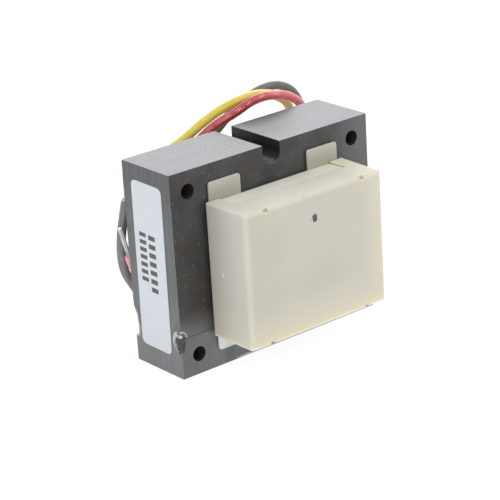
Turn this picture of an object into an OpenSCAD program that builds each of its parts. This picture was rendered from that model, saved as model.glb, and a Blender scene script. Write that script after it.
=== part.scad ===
// Small frameless control transformer: a welded stack of E and I laminations, a moulded bobbin with
// two windings, a snap-on coil cover on each face and four insulated leads out of the rear cover.
// Millimetres. +Z is up, the stack stands on its I bar at z = 0, the front cover faces -Y.

/* [Core] */
// Width of the centre leg
tongue = 22.225; // [18:0.025:28]
// Width of each outer leg
leg_w = 11.1125; // [9:0.0125:16]
// Width of each winding window
window_w = 11.1125; // [10:0.0125:16]
// Height of each winding window
window_h = 33.3375; // [26:0.0125:44]
// Height of the yoke above the windows
yoke_h = 11.1125; // [10:0.0125:16]
// Height of the I bar below the windows
bar_h = 11.1125; // [10:0.0125:16]
// Thickness of the lamination stack, front to back
stack = 19.6; // [14:0.1:30]
// Diameter of the mounting holes
hole_d = 4; // [3:0.1:5]
// Distance of each mounting hole's centre from the two edges of its corner
hole_inset = 5.55625; // [4.5:0.00625:6.5]
// Width of the notch in the top edge
notch_w = 5.75; // [3:0.05:8]
// Depth of the notch to its round bottom
notch_depth = 5.5; // [4.2:0.1:8]

/* [Welds] */
// Largest radius of each weld bead
weld_r = 1.7; // [1.5:0.05:2.2]
// Height of each weld bead
weld_h = 10; // [8:0.1:12]
// Depth of the bead's axis inside the side face of the core
weld_side_inset = 0.95; // [0.7:0.05:1.3]
// Depth of the bead's axis inside the front or rear face of the core
weld_face_inset = 1.1; // [0.7:0.05:1.3]
// How far the bead's middle lies below the seam
weld_drop = 0.7; // [0:0.1:2]

/* [Bobbin] */
// Play between the centre leg and the bobbin's tube
tube_gap = 0.25; // [0.1:0.05:0.5]
// Wall of the bobbin's tube
tube_wall = 1.2; // [0.8:0.1:2]
// Thickness of the two end flanges
flange_t = 1.4; // [1:0.1:2.4]
// Play between an end flange and the end of the window
end_gap = 0.15; // [0.1:0.05:0.5]
// Thickness of the divider between the windings
divider_t = 1.2; // [0.8:0.1:2.4]
// Thickness of the tabs that lie against the core's faces
tab_t = 0.7; // [0.6:0.1:1.6]
// Play between a tab and the core's face
tab_gap = 0.2; // [0.05:0.05:0.3]
// How far a tab reaches past the end of the window
tab_reach = 6.35; // [4:0.05:9]
// Rounding of a tab's outer corners
tab_r = 0.7; // [0.5:0.1:2]
// Play between a tab's inner edge and the line of the centre leg
tab_inset = 0.3; // [0:0.05:0.5]
// Play between a tab's outer edge and the line of the outer leg
leg_gap = 0.6; // [0.2:0.05:0.8]
// Height of the raised pads on the outer sides of the flanges, at their outer edge
pad_h = 1.4; // [0.4:0.1:1.6]
// Height of the pads beside the tabs, where they slope down to
pad_low_h = 1.1; // [0.2:0.1:1.2]
// Play between a pad and the edges of the cover's cut-out
pad_gap = 0.25; // [0.1:0.05:0.5]

/* [Windings] */
// Play between the finished coil and the outer legs
coil_gap = 0.8; // [0.4:0.1:1.5]
// Thickness of the tape round each winding
wrap_t = 0.4; // [0.2:0.05:0.8]
// Play under the tape
wrap_gap = 0.05; // [0.02:0.01:0.1]
// Play between a winding and the flanges and tube beside it
side_gap = 0.3; // [0.1:0.05:0.6]

/* [Covers] */
// Wall of the coil covers
cover_wall = 1.5; // [1:0.1:2.2]
// Play between a cover and the bobbin's flanges
cover_gap = 0.2; // [0.05:0.05:0.4]
// Play between a cover's open edge and the tabs
edge_gap = 0.2; // [0.02:0.01:0.3]
// Room for the splices between the coil and the cover's face
lead_room = 4; // [3.6:0.1:6]
// How much deeper the front cover is than the rear one
front_extra = 0.7; // [0:0.1:1.5]
// Rounding of the cover's upright edges
cover_r = 1.4; // [1:0.1:3]
// Rounding of the cover's top edge
rim_r = 1.2; // [0.4:0.1:1.4]
// Rounding of the cover's bottom edge
low_rim_r = 0.4; // [0.2:0.1:1.4]
// Width of the strip that is left at each end of the cover's cut-outs
strip_w = 4.3; // [3:0.1:8]
// Depth of the cut-outs from the core's face
cutout_depth = 7.3; // [4:0.1:10]
// Distance of the small rim slots from the middle of the cover
slot_x = 16.3; // [10:0.1:18]
// Width of the rim slots
slot_w = 1.6; // [0.8:0.1:3]
// Depth of the rim slots into the cover's face
slot_depth = 1.2; // [0.6:0.1:1.4]
// Height of the rim slots
slot_h = 0.9; // [0.4:0.1:1.4]

/* [Label] */
// Bare width of the core's side in front of and behind the label, on average
label_side_margin = 3.6; // [3.2:0.1:6]
// Bare height of the core's side above and below the label, on average
label_end_margin = 5; // [2:0.1:12]
// Thickness of the label
label_t = 0.15; // [0.1:0.01:0.3]
// Rounding of the label's corners
label_r = 1.6; // [0.5:0.1:3]
// How far the label's middle lies above the core's
label_rise = 0.7; // [-1:0.1:1]
// How far the label's middle lies behind the core's
label_back = 0.4; // [-1:0.1:1]
// How far the label is turned
label_tilt = 0.8; // [-2:0.1:2]

/* [Leads] */
// Outer diameter of the leads
lead_d = 2.5; // [2:0.1:2.6]
// Diameter of the bare conductor
strand_d = 1.2; // [0.8:0.1:1.6]
// Play round a lead in the cover's wall
lead_gap = 0.2; // [0.1:0.05:0.5]
// Bare length of the yellow lead
yellow_strip = 8; // [3:0.1:10]
// Bare length of the red lead
red_strip = 8.6; // [3:0.1:10]
// Bare length of the black lead
black_strip = 1.2; // [1:0.1:4]
// Bare length of the second black lead
second_black_strip = 4; // [2:0.1:5]
// Outer diameter of the sleeve on each splice
splice_d = 3.2; // [2.8:0.1:3.4]
// Length of the sleeve on each splice
splice_l = 9; // [6:0.5:14]
// Distance of a splice's end from the cover's wall
splice_inset = 3.1; // [2.5:0.1:5]
// Distance between the two leads of one winding where they leave the cover
exit_pitch = 5; // [4:0.1:9]

/* [Hidden] */
$fn = 64;

// Colours
core_colour = [0.3, 0.32, 0.34];
weld_colour = [0.42, 0.4, 0.4];
nylon_colour = [0.85, 0.83, 0.75];
copper_colour = [0.62, 0.32, 0.16];
tape_colour = [0.85, 0.7, 0.3];
paper_colour = [0.87, 0.9, 0.93];
tin_colour = [0.75, 0.75, 0.74];
sleeve_colour = [0.9, 0.9, 0.86];
yellow_colour = [0.85, 0.72, 0.2];
red_colour = [0.72, 0.13, 0.15];
black_colour = [0.08, 0.08, 0.085];

// Core
core_w = tongue + 2 * window_w + 2 * leg_w;
core_h = bar_h + window_h + yoke_h;
window_top = bar_h + window_h;
window_outer = tongue / 2 + window_w;
face_y = stack / 2;
hole_x = core_w / 2 - hole_inset;
label_w = stack - 2 * label_side_margin;
label_h = core_h - 2 * label_end_margin;
cut_past = 1;

// Coil: everything is built outwards from the centre leg
tube_x = tongue / 2 + tube_gap + tube_wall;
tube_y = face_y + tube_gap + tube_wall;
coil_build = window_w - tube_gap - tube_wall - coil_gap;
winding_build = coil_build - wrap_t - wrap_gap;
flange_low = bar_h + end_gap;
flange_high = window_top - end_gap;
coil_mid = (flange_low + flange_high) / 2;
section_h = (flange_high - flange_low) / 2 - flange_t - divider_t / 2;
winding_h = section_h - 2 * side_gap;
upper_z = coil_mid + divider_t / 2 + side_gap;
lower_z = flange_low + flange_t + side_gap;

// Covers
flange_half_w = tube_x + coil_build;
cover_inner_half_w = flange_half_w + cover_gap;
cover_half_w = cover_inner_half_w + cover_wall;
cover_low = flange_low - cover_gap - cover_wall;
cover_high = flange_high + cover_gap + cover_wall;
cover_edge_y = face_y + tab_gap + tab_t + edge_gap;
cover_inner_y = tube_y + coil_build + lead_room;
cover_face_y = cover_inner_y + cover_wall;
flange_y = cover_inner_y - cover_gap;

// Splices
splice_x = cover_inner_half_w - splice_inset;
splice_y = tube_y + coil_build + lead_room / 2;
lower_mid = lower_z + winding_h / 2;
upper_mid = upper_z + winding_h / 2;
yellow_z = lower_mid + exit_pitch / 2;
second_black_z = lower_mid - exit_pitch / 2;
red_z = upper_mid + exit_pitch / 2;
black_z = upper_mid - exit_pitch / 2;

// Routes of the four leads: from the splice and out through the rear cover's right wall. Three go over
// the top and down behind the coil cover to the left edge of the core; the second black one lies in a
// loose turn behind the core, on what the part stands on.
yellow_route = [
    [18.6, 22.1, 22.4], [23.2, 22.1, 22.4], [27.8, 22.2, 22.8], [31.2, 23.4, 26.2], [31.8, 24.8, 31.4],
    [31.7, 25.2, 36.4], [32.3, 23.7, 41.6], [32.6, 21, 47.4], [30.6, 18.8, 52.6], [26.4, 18.2, 56.4],
    [20, 18, 58.7], [13, 18, 58.7], [6.6, 18, 57.7], [0.4, 18, 55.7], [-6.2, 17.9, 52.9],
    [-12.2, 17.5, 51.1], [-18.4, 16.8, 49.6], [-24.2, 15.8, 47.2], [-26.4, 15, 41.6], [-26.2, 14.3, 35],
    [-25.8, 14, 28]];
red_route = [
    [18.6, 22.1, 38.1], [23.2, 22.1, 38.1], [28, 21.8, 38.7], [32.4, 20.2, 42], [34.2, 17.6, 47.2],
    [33.1, 15.6, 51.7], [28.6, 14.6, 56.3], [22.4, 14.6, 58.5], [15.4, 14.6, 58.8], [8.4, 14.6, 56.9],
    [0.9, 14.6, 54.95], [-5.6, 14.7, 51.8], [-9.9, 16.3, 48.8], [-12.4, 20.4, 47.9], [-12.8, 24, 48.1],
    [-12.6, 27.2, 46.8], [-12, 29.2, 43.2], [-11.2, 28.4, 36.4], [-10.4, 27.5, 29.6], [-10, 27.3, 22.4],
    [-10.2, 28.1, 15.4], [-11.2, 27.9, 9.8], [-13.2, 24.8, 6], [-17, 19.8, 5.2], [-21.6, 15.4, 6.4],
    [-26, 12.4, 10.6], [-28.2, 11.8, 15.4], [-29, 11.6, 19.4], [-29.9, 11.6, 22.3], [-30.95, 11.6, 24.8],
    [-31.8, 11.6, 26.7], [-32.25, 11.6, 28.4]];
black_route = [
    [18.6, 22.1, 33.1], [23.2, 22.1, 33.1], [28.6, 22.1, 33.8], [33.8, 22.2, 37], [36.9, 22.2, 42.2],
    [37.7, 21.9, 48], [35.5, 21.5, 54.1], [30.6, 21.4, 57.9], [24.9, 21.4, 58.8], [19.6, 21.6, 57.7],
    [14.6, 22.5, 55], [10.2, 24.8, 50], [7.4, 28, 45], [4.4, 29.5, 38.2], [-1, 30, 31.4],
    [-6.2, 30.7, 24.6], [-10.6, 31.2, 17.8], [-13.8, 29.6, 11.6], [-17.2, 25.6, 6.8], [-21.6, 20.4, 6],
    [-25, 16.6, 9.4], [-27.2, 15.2, 14.6], [-29.7, 14.8, 18.9], [-31.9, 14.6, 23.2], [-32.5, 14.6, 28.4],
    [-32, 14.6, 33.4], [-31, 14.6, 37.6], [-29.8, 14.6, 42]];
second_black_route = [
    [18.6, 22.1, 17.4], [23.2, 22.1, 17.4], [28, 22.2, 17.2], [33.4, 23.6, 16.4], [36.2, 28.2, 14.8],
    [34, 33, 12.8], [28.4, 34.8, 10.4], [22, 34.2, 7.4], [16, 33, 4.6], [9.4, 32.4, 2.4], [2, 31.6, 1.5],
    [-5.4, 30.4, 1.3], [-12.2, 27.6, 1.3], [-16.4, 22.4, 1.3], [-15, 17, 1.3], [-9.4, 14.6, 1.3],
    [-2, 14.4, 1.3], [5.4, 14.6, 1.3], [12, 15.6, 1.3]];
lead_sides = 8;

// A rectangle about the origin with rounded corners
module rounded_rect(w, h, r) {
    square([w - 2 * r, h], center = true);
    square([w, h - 2 * r], center = true);
    for (x = [-1, 1], z = [-1, 1])
        translate([x * (w / 2 - r), z * (h / 2 - r)]) circle(r);
}

// Puts a flat XZ drawing upright, from the rear face of the stack to its front face
module across_stack() {
    rotate([90, 0, 0]) linear_extrude(stack, center = true) children();
}

module mounting_holes(z) {
    for (x = [-hole_x, hole_x]) translate([x, z]) circle(d = hole_d);
}

module e_laminations() color(core_colour) across_stack()
    difference() {
        translate([-core_w / 2, bar_h]) square([core_w, core_h - bar_h]);
        for (side = [-1, 1])
            translate([side * (tongue + window_w) / 2 - window_w / 2, bar_h - cut_past])
                square([window_w, window_h + cut_past]);
        translate([0, core_h - notch_depth + notch_w / 2]) {
            circle(d = notch_w);
            translate([-notch_w / 2, 0]) square([notch_w, notch_depth]);
        }
        mounting_holes(core_h - hole_inset);
    }

module i_laminations() color(core_colour) across_stack()
    difference() {
        translate([-core_w / 2, 0]) square([core_w, bar_h]);
        mounting_holes(hole_inset);
    }

// A spindle of weld metal over one upright corner of the core, across the seam of E and I
module weld(side, face) color(weld_colour) {
    arc_r = (weld_h * weld_h / 4 + weld_r * weld_r) / (2 * weld_r);
    axis_x = side * (core_w / 2 - weld_side_inset);
    axis_y = face * (face_y - weld_face_inset);
    difference() {
        translate([axis_x, axis_y, bar_h - weld_drop])
            rotate_extrude($fn = 240) intersection() {
                translate([weld_r - arc_r, 0]) circle(arc_r, $fn = 240);
                translate([0, -weld_h]) square(2 * weld_h);
            }
        translate([-core_w / 2, -face_y, 0]) cube([core_w, stack, core_h]);
    }
}
module front_left_weld() weld(-1, -1);
module front_right_weld() weld(1, -1);
module rear_left_weld() weld(-1, 1);
module rear_right_weld() weld(1, 1);

// One tab, standing against the front or rear face of the core beside the centre leg's line
module bobbin_tab() {
    inner = tongue / 2 + tab_inset;
    outer = window_outer - leg_gap;
    top = window_top + tab_reach;
    translate([(inner + outer) / 2, -face_y - tab_gap, 0]) rotate([90, 0, 0]) linear_extrude(tab_t)
        difference() {
            translate([0, top - window_h / 4]) rounded_rect(outer - inner, window_h / 2, tab_r);
            translate([inner - outer, top - window_h / 2 - cut_past])
                square([2 * (outer - inner), flange_high - flange_t - top + window_h / 2 + cut_past]);
        }
}

module bobbin_flange(z) translate([-flange_half_w, -flange_y, z])
    cube([2 * flange_half_w, 2 * flange_y, flange_t]);

// A raised pad on the upper flange, which slopes up to the front edge of the cover's cut-out
module flange_pad() {
    half_w = cover_half_w - strip_w - pad_gap;
    outer_y = -face_y - cutout_depth + pad_gap;
    inner_y = -face_y - tab_gap - tab_t / 2;
    root = flange_high - flange_t / 2;
    rotate([90, 0, 90]) linear_extrude(2 * half_w, center = true)
        polygon([
            [outer_y, root], [inner_y, root],
            [inner_y, flange_high + pad_low_h], [outer_y, flange_high + pad_h]]);
}

module bobbin() color(nylon_colour)
    difference() {
        union() {
            translate([-tube_x, -tube_y, flange_low])
                cube([2 * tube_x, 2 * tube_y, flange_high - flange_low]);
            bobbin_flange(flange_low);
            bobbin_flange(flange_high - flange_t);
            translate([0, 0, coil_mid - divider_t / 2]) linear_extrude(divider_t) coil_outline(coil_build);
            for (x = [0, 1], y = [0, 1], z = [0, 1])
                mirror([x, 0, 0]) mirror([0, y, 0])
                    translate([0, 0, z * 2 * coil_mid]) mirror([0, 0, z]) bobbin_tab();
            for (y = [0, 1], z = [0, 1])
                mirror([0, y, 0]) translate([0, 0, z * 2 * coil_mid]) mirror([0, 0, z]) flange_pad();
        }
        translate([-tongue / 2 - tube_gap, -face_y - tube_gap, flange_low - cut_past])
            cube([tongue + 2 * tube_gap, stack + 2 * tube_gap, flange_high - flange_low + 2 * cut_past]);
    }

// The round-cornered outline of a coil that stands out from the tube by build
module coil_outline(build) rounded_rect(2 * (tube_x + build), 2 * (tube_y + build), build);

module coil_ring(z, inner, outer) translate([0, 0, z]) linear_extrude(winding_h)
    difference() {
        coil_outline(outer);
        if (inner > 0) coil_outline(inner);
        else square([2 * (tube_x + side_gap), 2 * (tube_y + side_gap)], center = true);
    }

module primary_winding() color(copper_colour) coil_ring(upper_z, 0, winding_build);
module secondary_winding() color(copper_colour) coil_ring(lower_z, 0, winding_build);
module primary_wrap() color(tape_colour) coil_ring(upper_z, winding_build + wrap_gap, coil_build);
module secondary_wrap() color(tape_colour) coil_ring(lower_z, winding_build + wrap_gap, coil_build);

// A five-sided snap-on cover, drawn for the front of the core, with its face further out by extra
module coil_cover(extra) {
    depth = cover_face_y + extra - cover_edge_y;
    height = cover_high - cover_low;
    tall = height + 2 * rim_r;
    difference() {
        intersection() {
            translate([0, -cover_edge_y + depth, cover_low]) linear_extrude(height)
                rounded_rect(2 * cover_half_w, 4 * depth, cover_r);
            translate([0, -cover_edge_y, coil_mid - rim_r]) rotate([90, 0, 90])
                linear_extrude(2 * cover_half_w + 2 * cut_past, center = true)
                    rounded_rect(2 * depth, tall, rim_r);
            translate([0, -cover_edge_y, coil_mid + rim_r]) rotate([90, 0, 90])
                linear_extrude(2 * cover_half_w + 2 * cut_past, center = true)
                    rounded_rect(2 * depth, tall, low_rim_r);
            translate([-cover_half_w, -cover_edge_y - depth, cover_low])
                cube([2 * cover_half_w, depth, height]);
        }
        translate([-cover_inner_half_w, -cover_inner_y - extra, cover_low + cover_wall])
            cube([2 * cover_inner_half_w, depth + cut_past, height - 2 * cover_wall]);
        translate([strip_w - cover_half_w, -face_y - cutout_depth, cover_low - cut_past])
            cube([2 * (cover_half_w - strip_w), cutout_depth, height + 2 * cut_past]);
        for (x = [-slot_x, slot_x], z = [cover_low - cut_past, cover_high - slot_h])
            translate([x - slot_w / 2, -cover_face_y - extra - cut_past, z])
                cube([slot_w, slot_depth + cut_past, slot_h + cut_past]);
    }
}

module front_cover() color(nylon_colour) coil_cover(front_extra);

module rear_cover() color(nylon_colour)
    difference() {
        mirror([0, 1, 0]) coil_cover(0);
        for (z = [yellow_z, red_z, black_z, second_black_z])
            translate([cover_inner_half_w - cut_past, splice_y, z]) rotate([0, 90, 0])
                cylinder(d = lead_d + 2 * lead_gap, h = cover_wall + 2 * cut_past);
    }

module label() color(paper_colour)
    translate([-core_w / 2, label_back, core_h / 2 + label_rise]) rotate([label_tilt, 0, 0])
        rotate([90, 0, -90]) linear_extrude(label_t) rounded_rect(label_w, label_h, label_r);

function unit(v) = v / norm(v);
// Direction of a route at point i, along its end stretch at the ends
function heading(route, i) = unit(route[min(i + 1, len(route) - 1)] - route[max(i - 1, 0)]);
// The part of v that is square to a direction, as a unit vector
function square_to(v, dir) = unit(v - (v * dir) * dir);

// A tube of lead_sides sides along a route, its section carried from point to point without twist
module lead_tube(route) {
    last = len(route) - 1;
    sides = [for (i = 0, s = square_to([0, 0, 1], heading(route, 0));
                  i <= last;
                  i = i + 1, s = i > last ? s : square_to(s, heading(route, i))) s];
    points = [for (i = [0 : last], k = [0 : lead_sides - 1])
        let (turn = 360 * k / lead_sides, up = cross(heading(route, i), sides[i]))
            route[i] + lead_d / 2 * (cos(turn) * sides[i] + sin(turn) * up)];
    walls = [for (i = [0 : last - 1], k = [0 : lead_sides - 1])
        let (a = i * lead_sides + k, b = i * lead_sides + (k + 1) % lead_sides)
            [a, a + lead_sides, b + lead_sides, b]];
    near_end = [for (k = [0 : lead_sides - 1]) k];
    far_end = [for (k = [lead_sides - 1 : -1 : 0]) last * lead_sides + k];
    polyhedron(points, concat(walls, [near_end, far_end]));
}
module yellow_lead() color(yellow_colour) lead_tube(yellow_route);
module red_lead() color(red_colour) lead_tube(red_route);
module black_lead() color(black_colour) lead_tube(black_route);
module second_black_lead() color(black_colour) lead_tube(second_black_route);

// The bare conductor past the end of a lead
module bare_end(route, strip) color(tin_colour) {
    dir = heading(route, len(route) - 1);
    translate(route[len(route) - 1]) rotate([0, acos(dir[2]), atan2(dir[1], dir[0])])
        cylinder(d = strand_d, h = strip);
}
module yellow_lead_strands() bare_end(yellow_route, yellow_strip);
module red_lead_strands() bare_end(red_route, red_strip);
module black_lead_strands() bare_end(black_route, black_strip);
module second_black_lead_strands() bare_end(second_black_route, second_black_strip);

// The sleeved joint of a lead and its winding, inside the rear cover
module splice(z) color(sleeve_colour)
    translate([splice_x, splice_y, z]) rotate([0, -90, 0]) cylinder(d = splice_d, h = splice_l);
module yellow_lead_splice() splice(yellow_z);
module red_lead_splice() splice(red_z);
module black_lead_splice() splice(black_z);
module second_black_lead_splice() splice(second_black_z);

e_laminations();
i_laminations();
front_left_weld();
front_right_weld();
rear_left_weld();
rear_right_weld();
bobbin();
primary_winding();
secondary_winding();
primary_wrap();
secondary_wrap();
front_cover();
rear_cover();
label();
yellow_lead();
red_lead();
black_lead();
second_black_lead();
yellow_lead_strands();
red_lead_strands();
black_lead_strands();
second_black_lead_strands();
yellow_lead_splice();
red_lead_splice();
black_lead_splice();
second_black_lead_splice();
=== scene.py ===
# A small frameless control transformer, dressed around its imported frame.
import math
import random

import bmesh
import bpy
from mathutils import Matrix, Vector, noise


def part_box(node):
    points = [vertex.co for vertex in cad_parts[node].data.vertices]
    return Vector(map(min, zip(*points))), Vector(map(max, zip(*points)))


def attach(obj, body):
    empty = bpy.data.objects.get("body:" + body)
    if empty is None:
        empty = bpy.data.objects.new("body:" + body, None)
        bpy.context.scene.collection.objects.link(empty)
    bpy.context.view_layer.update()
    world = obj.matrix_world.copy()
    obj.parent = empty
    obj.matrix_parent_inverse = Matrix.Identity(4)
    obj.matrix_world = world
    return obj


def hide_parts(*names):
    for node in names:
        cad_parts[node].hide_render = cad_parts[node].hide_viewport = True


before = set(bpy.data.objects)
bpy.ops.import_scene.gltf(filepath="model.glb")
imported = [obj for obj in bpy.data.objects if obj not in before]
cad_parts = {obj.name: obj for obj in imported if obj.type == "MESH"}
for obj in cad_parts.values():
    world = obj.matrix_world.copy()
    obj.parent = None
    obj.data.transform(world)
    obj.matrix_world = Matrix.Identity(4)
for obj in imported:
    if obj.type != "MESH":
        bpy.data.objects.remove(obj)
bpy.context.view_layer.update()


# Studio: a long lens a little above the front left corner of the core, tipped by a few degrees, on a
# pale sweep of paper between four soft boxes. The paper glows for the lens alone, so that it stays white
# around the part and still takes its shadow.
MM = 0.001
view_azimuth = math.radians(-38.51)
view_elevation = math.radians(21.11)
view_roll = math.radians(-3.64)
view_target = Vector((-3.69, -3.13, 25.49)) * MM
view_distance = 530.7 * MM

to_lens = Vector((
    math.sin(view_azimuth) * math.cos(view_elevation),
    -math.cos(view_azimuth) * math.cos(view_elevation),
    math.sin(view_elevation),
))
level_right = Vector((math.cos(view_azimuth), math.sin(view_azimuth), 0))
level_up = to_lens.cross(level_right)
frame_right = math.cos(view_roll) * level_right + math.sin(view_roll) * level_up
frame_up = to_lens.cross(frame_right)
lens = bpy.data.cameras.new("lens")
lens.lens = 144.8
lens.clip_start = 0.01
camera = bpy.data.objects.new("camera", lens)
camera.matrix_world = (
    Matrix.Translation(view_target + view_distance * to_lens)
    @ Matrix((frame_right, frame_up, to_lens)).transposed().to_4x4()
)
bpy.context.collection.objects.link(camera)
bpy.context.scene.camera = camera
bpy.context.scene.view_settings.view_transform = "Standard"


def soft_box(name, place, aim, size, watts):
    lamp = bpy.data.lights.new(name, "AREA")
    lamp.shape = "SQUARE"
    lamp.size = size
    lamp.energy = watts
    box = bpy.data.objects.new(name, lamp)
    box.location = place
    box.rotation_euler = (Vector(aim) - Vector(place)).to_track_quat("-Z", "Y").to_euler()
    bpy.context.collection.objects.link(box)


soft_box("soft_box_front_right", (0.45, -0.65, 0.6), (0, 0, 0.03), 0.5, 1.9)
soft_box("soft_box_low_left", (-0.6, -0.6, 0.22), (0, 0, 0.0), 0.5, 1.6)
soft_box("soft_box_overhead", (-0.05, -0.1, 0.8), (0, 0, 0.04), 0.6, 2.4)
soft_box("soft_box_behind", (0.5, 0.62, 0.45), (0, 0, 0.04), 0.7, 3.6)


def seen_by_lens(tree):
    """1 for rays from the lens, in reflections and through clear parts, 0 for the light itself."""
    rays = tree.nodes.new("ShaderNodeLightPath").outputs
    total = rays["Is Camera Ray"]
    for kind in ("Is Glossy Ray", "Is Transmission Ray"):
        largest = tree.nodes.new("ShaderNodeMath")
        largest.operation = "MAXIMUM"
        tree.links.new(total, largest.inputs[0])
        tree.links.new(rays[kind], largest.inputs[1])
        total = largest.outputs[0]
    return total


room = bpy.data.worlds.new("studio_room")
bpy.context.scene.world = room
room.use_nodes = True
room_tree = room.node_tree
room_light = room_tree.nodes["Background"]
room_light.inputs["Color"].default_value = (1, 1, 1, 1)
room_light.inputs["Strength"].default_value = 0.6
room_white = room_tree.nodes.new("ShaderNodeBackground")
room_white.inputs["Color"].default_value = (1, 1, 1, 1)
room_choice = room_tree.nodes.new("ShaderNodeMixShader")
room_tree.links.new(seen_by_lens(room_tree), room_choice.inputs[0])
room_tree.links.new(room_light.outputs[0], room_choice.inputs[1])
room_tree.links.new(room_white.outputs[0], room_choice.inputs[2])
room_tree.links.new(room_choice.outputs[0], room_tree.nodes["World Output"].inputs[0])

paper_mesh = bmesh.new()
bmesh.ops.create_grid(paper_mesh, x_segments=1, y_segments=1, size=1.5)
paper = bpy.data.objects.new("paper_sweep", bpy.data.meshes.new("paper_sweep"))
paper_mesh.to_mesh(paper.data)
paper_mesh.free()
bpy.context.collection.objects.link(paper)
paper_finish = bpy.data.materials.new("paper_sweep")
paper_finish.use_nodes = True
paper_tree = paper_finish.node_tree
paper_tree.nodes.remove(paper_tree.nodes["Principled BSDF"])
paper_lit = paper_tree.nodes.new("ShaderNodeBsdfDiffuse")
paper_lit.inputs["Color"].default_value = (0.9, 0.9, 0.9, 1)
paper_shade = paper_tree.nodes.new("ShaderNodeBsdfDiffuse")
paper_shade.inputs["Color"].default_value = (0.16, 0.16, 0.16, 1)
paper_glow = paper_tree.nodes.new("ShaderNodeEmission")
paper_glow.inputs["Strength"].default_value = 0.91
paper_white = paper_tree.nodes.new("ShaderNodeAddShader")
paper_tree.links.new(paper_shade.outputs[0], paper_white.inputs[0])
paper_tree.links.new(paper_glow.outputs[0], paper_white.inputs[1])
paper_choice = paper_tree.nodes.new("ShaderNodeMixShader")
paper_tree.links.new(seen_by_lens(paper_tree), paper_choice.inputs[0])
paper_tree.links.new(paper_lit.outputs[0], paper_choice.inputs[1])
paper_tree.links.new(paper_white.outputs[0], paper_choice.inputs[2])
paper_tree.links.new(paper_choice.outputs[0], paper_tree.nodes["Material Output"].inputs[0])
paper.data.materials.append(paper_finish)


# Core laminations: stamped sheets of silicon steel, half a millimetre thick, with a dark blue-grey oxide
# skin on their faces and bare sheared edges. The E sheets and the I sheets are two loose stacks, butted
# at the seam and held by the welds, so no two edges line up quite.
core_half_width = 33.3375
core_half_depth = 9.8
hole_off_middle = 27.78 * MM
hole_rise = 22.225 * MM
core_middle_height = 27.78 * MM
sheet_count = 41
sheet_gap = 0.012 * MM
sheet_edge_round = 0.05 * MM
sheet_shift = 0.03 * MM


def start_finish(name):
    """A new material with its node tree, its shader and its Object coordinates."""
    finish = bpy.data.materials.new(name)
    finish.use_nodes = True
    tree = finish.node_tree
    place = tree.nodes.new("ShaderNodeTexCoord").outputs["Object"]
    return finish, tree, tree.nodes["Principled BSDF"], place


def plug(tree, value, socket):
    """Links a socket's value, or sets a plain one."""
    if isinstance(value, bpy.types.NodeSocket):
        tree.links.new(value, socket)
    elif isinstance(value, tuple) and len(value) == 3 and len(socket.default_value) == 4:
        socket.default_value = (*value, 1)
    else:
        socket.default_value = value


def stretched(tree, place, scale, shift=(0, 0, 0), turn=(0, 0, 0)):
    node = tree.nodes.new("ShaderNodeMapping")
    tree.links.new(place, node.inputs["Vector"])
    node.inputs["Location"].default_value = shift
    node.inputs["Rotation"].default_value = turn
    node.inputs["Scale"].default_value = scale
    return node.outputs[0]


def cloud(tree, place, scale, detail=3.0, rough=0.5):
    node = tree.nodes.new("ShaderNodeTexNoise")
    tree.links.new(place, node.inputs["Vector"])
    node.inputs["Scale"].default_value = scale
    node.inputs["Detail"].default_value = detail
    node.inputs["Roughness"].default_value = rough
    return node.outputs["Fac"]


def graded(tree, value, low, high, to_low=0.0, to_high=1.0):
    """value from low..high spread over to_low..to_high, held at the ends."""
    node = tree.nodes.new("ShaderNodeMapRange")
    node.interpolation_type = "SMOOTHSTEP"
    tree.links.new(value, node.inputs["Value"])
    for name, number in zip(("From Min", "From Max", "To Min", "To Max"), (low, high, to_low, to_high)):
        node.inputs[name].default_value = number
    return node.outputs[0]


def tinted(tree, share, first, second):
    node = tree.nodes.new("ShaderNodeMix")
    node.data_type = "RGBA"
    plug(tree, share, node.inputs[0])
    plug(tree, first, node.inputs[6])
    plug(tree, second, node.inputs[7])
    return node.outputs[2]


def combined(tree, operation, first, second=0.0):
    node = tree.nodes.new("ShaderNodeMath")
    node.operation = operation
    plug(tree, first, node.inputs[0])
    plug(tree, second, node.inputs[1])
    return node.outputs[0]


def embossed(tree, shader, height, depth, strength=1.0):
    node = tree.nodes.new("ShaderNodeBump")
    node.inputs["Distance"].default_value = depth
    node.inputs["Strength"].default_value = strength
    tree.links.new(height, node.inputs["Height"])
    tree.links.new(node.outputs[0], shader.inputs["Normal"])


def away_from(tree, place, point):
    node = tree.nodes.new("ShaderNodeVectorMath")
    node.operation = "DISTANCE"
    tree.links.new(place, node.inputs[0])
    node.inputs[1].default_value = point
    return node.outputs["Value"]


def four_corners(tree, place):
    """Object coordinates folded into one corner of the core, so that one spot serves all four welds."""
    node = tree.nodes.new("ShaderNodeVectorMath")
    node.operation = "ABSOLUTE"
    tree.links.new(place, node.inputs[0])
    return node.outputs[0]


weld_spot = (33.3 * MM, 9.8 * MM, 12.4 * MM)


def split_axes(tree, place):
    node = tree.nodes.new("ShaderNodeSeparateXYZ")
    tree.links.new(place, node.inputs[0])
    return node.outputs


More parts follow.
